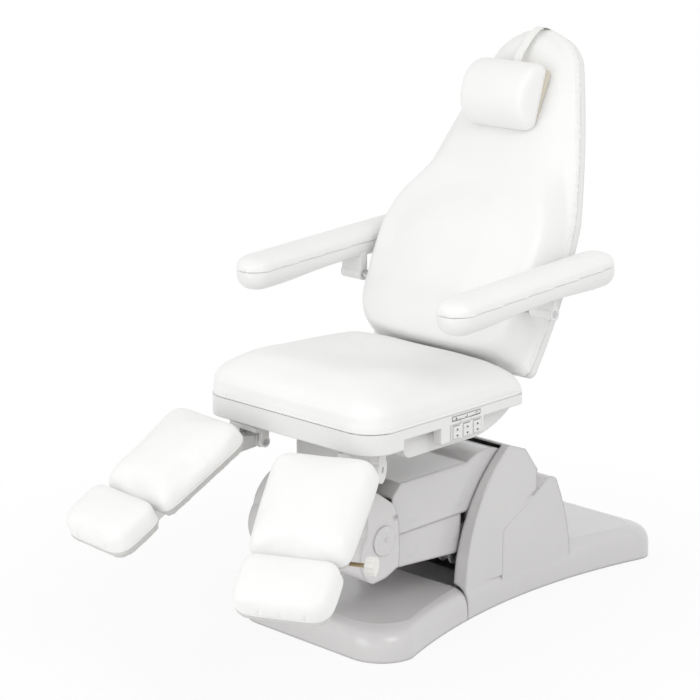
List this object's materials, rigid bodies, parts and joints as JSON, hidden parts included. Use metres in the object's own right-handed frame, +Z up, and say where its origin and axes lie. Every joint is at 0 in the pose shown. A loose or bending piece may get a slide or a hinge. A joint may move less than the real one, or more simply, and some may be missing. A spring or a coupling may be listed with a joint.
{
  "type": "pedicure chair",
  "caption": "Upholstered pedicure chair on a waisted base: motor lifting arm, tilting seat, reclining back with head pillow, flip-up armrests, swivelling leg rests with sliding foot pads.",
  "frame": {"origin": "on the floor under the lifting arm, in the plane of symmetry, on the underside of the base plate", "axes": "+X to the sitter's left (switch side), +Y to the rear, +Z up"},
  "size_m": [0.8426, 1.6154, 1.4122],
  "materials": {
    "dark_steel": "black powder coat",
    "cover_plastic": "glossy light grey moulding",
    "black_plastic": "fine grain",
    "frame_steel": "grey-white powder coat",
    "bright_steel": "ground",
    "drive_grey": "satin grey",
    "cap_plastic": "glossy",
    "board_wood": "plain plywood",
    "trim_plastic": "fine satin",
    "upholstery": "white soft vinyl with stitched seams",
    "strap_vinyl": "white vinyl with folded edges",
    "switch_plastic": "satin white",
    "yoke_paint": "white powder coat",
    "brass": "turned",
    "knob_plastic": "moulded"
  },
  "bodies": {
    "base": {"base_plate": "dark_steel", "base_front_cover": "cover_plastic", "base_rear_cover": "cover_plastic", "power_inlet": "black_plastic", "tower_frame": "frame_steel", "tower_shafts": "bright_steel", "lift_drive": "drive_grey", "control_box": "black_plastic"},
    "lift_rod": {"lift_rod": "bright_steel"},
    "lower_link": {"lower_link": "frame_steel", "arm_lower_cover": "cover_plastic"},
    "upper_link": {"upper_link": "frame_steel", "arm_upper_cover": "cover_plastic"},
    "carrier": {"carrier": "frame_steel", "carrier_pins": "bright_steel", "nose_cover": "cover_plastic", "pivot_caps": "cap_plastic", "tilt_drive": "drive_grey"},
    "tilt_rod": {"tilt_rod": "bright_steel"},
    "seat": {"seat_frame": "frame_steel", "seat_board": "board_wood", "seat_pan": "trim_plastic", "seat_fairing": "trim_plastic", "seat_cushion": "upholstery", "switch_bezel": "trim_plastic", "back_drive": "drive_grey", "back_hinge_pins": "bright_steel", "swivel_pins": "bright_steel"},
    "back_rod": {"back_rod": "bright_steel"},
    "backrest": {"back_frame": "frame_steel", "back_board": "board_wood", "back_shell": "trim_plastic", "back_cushion": "upholstery", "head_pillow": "upholstery", "pillow_strap": "strap_vinyl", "arm_pivot_pins": "bright_steel"},
    "rocker_lift": {"rocker_lift": "switch_plastic"},
    "rocker_back": {"rocker_back": "switch_plastic"},
    "rocker_tilt": {"rocker_tilt": "switch_plastic"},
    "armrest_left": {"armrest_shell_left": "trim_plastic", "armrest_pad_left": "upholstery"},
    "leg_yoke_left": {"leg_yoke_left": "yoke_paint", "leg_pin_left": "bright_steel"},
    "leg_arm_left": {"leg_arm_left": "yoke_paint", "calf_pad_left": "upholstery"},
    "foot_left": {"foot_tube_left": "yoke_paint", "foot_pad_left": "upholstery"},
    "clamp_left": {"clamp_screw_left": "brass", "clamp_knob_left": "knob_plastic"},
    "armrest_right": {"armrest_shell_right": "trim_plastic", "armrest_pad_right": "upholstery"},
    "leg_yoke_right": {"leg_yoke_right": "yoke_paint", "leg_pin_right": "bright_steel"},
    "leg_arm_right": {"leg_arm_right": "yoke_paint", "calf_pad_right": "upholstery"},
    "foot_right": {"foot_tube_right": "yoke_paint", "foot_pad_right": "upholstery"},
    "clamp_right": {"clamp_screw_right": "brass", "clamp_knob_right": "knob_plastic"}
  },
  "joints": [
    {"name": "lift", "type": "hinge", "parent": "base", "child": "lower_link", "pos_m": [0, 0.18, 0.205], "axis": [-1, 0, 0], "range_deg": [-8, 38]},
    {"name": "upper_link_turn", "type": "hinge", "parent": "base", "child": "upper_link", "pos_m": [0, 0.18, 0.27], "axis": [-1, 0, 0], "range_deg": [-8, 38]},
    {"name": "carrier_level", "type": "hinge", "parent": "lower_link", "child": "carrier", "pos_m": [0, -0.205, 0.205], "axis": [-1, 0, 0], "range_deg": [-38, 8]},
    {"name": "lift_rod_slide", "type": "slide", "parent": "base", "child": "lift_rod", "axis": [0, -1, 0], "range_m": [-0.017, 0.078]},
    {"name": "seat_tilt", "type": "hinge", "parent": "carrier", "child": "seat", "pos_m": [0, 0.06, 0.52], "axis": [-1, 0, 0], "range_deg": [0, 12]},
    {"name": "tilt_rod_slide", "type": "slide", "parent": "carrier", "child": "tilt_rod", "axis": [0, 0, 1], "range_m": [0, 0.056]},
    {"name": "back_recline", "type": "hinge", "parent": "seat", "child": "backrest", "pos_m": [0, 0.195, 0.575], "axis": [-1, 0, 0], "range_deg": [-5, 60]},
    {"name": "back_rod_slide", "type": "slide", "parent": "seat", "child": "back_rod", "axis": [0, -1, 0], "range_m": [-0.006, 0.069]},
    {"name": "rocker_lift_press", "type": "hinge", "parent": "seat", "child": "rocker_lift", "pos_m": [0.281, -0.093, 0.541], "axis": [0, 1, 0], "range_deg": [-8, 8], "stiffness_Nm_per_rad": 0.05},
    {"name": "rocker_back_press", "type": "hinge", "parent": "seat", "child": "rocker_back", "pos_m": [0.281, -0.057, 0.541], "axis": [0, 1, 0], "range_deg": [-8, 8], "stiffness_Nm_per_rad": 0.05},
    {"name": "rocker_tilt_press", "type": "hinge", "parent": "seat", "child": "rocker_tilt", "pos_m": [0.281, -0.021, 0.541], "axis": [0, 1, 0], "range_deg": [-8, 8], "stiffness_Nm_per_rad": 0.05},
    {"name": "armrest_left_flip", "type": "hinge", "parent": "backrest", "child": "armrest_left", "pos_m": [0.332, 0.188, 0.785], "axis": [-1, 0, 0], "range_deg": [0, 100]},
    {"name": "leg_left_swing", "type": "hinge", "parent": "seat", "child": "leg_yoke_left", "pos_m": [0.15, -0.31, 0.476], "axis": [0, 0, 1], "range_deg": [-25.6, 6.4]},
    {"name": "leg_left_tilt", "type": "hinge", "parent": "leg_yoke_left", "child": "leg_arm_left", "pos_m": [0.15, -0.31, 0.476], "axis": [0.9018, 0.4321, 0], "range_deg": [-17.8, 36.2]},
    {"name": "foot_left_slide", "type": "slide", "parent": "leg_arm_left", "child": "foot_left", "axis": [0.3504, -0.7314, -0.585], "range_m": [0, 0.11]},
    {"name": "clamp_left_turn", "type": "hinge", "parent": "leg_arm_left", "child": "clamp_left", "pos_m": [0.33286, -0.55279, 0.35234], "axis": [0.9018, 0.4321, 0], "continuous": true},
    {"name": "armrest_right_flip", "type": "hinge", "parent": "backrest", "child": "armrest_right", "pos_m": [-0.332, 0.188, 0.785], "axis": [-1, 0, 0], "range_deg": [0, 100]},
    {"name": "leg_right_swing", "type": "hinge", "parent": "seat", "child": "leg_yoke_right", "pos_m": [-0.15, -0.31, 0.476], "axis": [0, 0, -1], "range_deg": [-4.3, 27.7]},
    {"name": "leg_right_tilt", "type": "hinge", "parent": "leg_yoke_right", "child": "leg_arm_right", "pos_m": [-0.15, -0.31, 0.476], "axis": [0.9972, -0.075, 0], "range_deg": [-11.9, 42.1]},
    {"name": "foot_right_slide", "type": "slide", "parent": "leg_arm_right", "child": "foot_right", "axis": [-0.065, -0.8645, -0.4985], "range_m": [0, 0.11]},
    {"name": "clamp_right_turn", "type": "hinge", "parent": "leg_arm_right", "child": "clamp_right", "pos_m": [-0.23301, -0.61372, 0.38362], "axis": [-0.9972, 0.075, 0], "continuous": true}
  ],
  "couplings": [
    {"joint": "upper_link_turn", "follows": "lift", "ratio": 1},
    {"joint": "carrier_level", "follows": "lift", "ratio": -1},
    {"joint": "lift_rod_slide", "follows": "lift", "m_per_rad": 0.115},
    {"joint": "tilt_rod_slide", "follows": "seat_tilt", "m_per_rad": 0.2631},
    {"joint": "back_rod_slide", "follows": "back_recline", "m_per_rad": 0.0655}
  ]
}
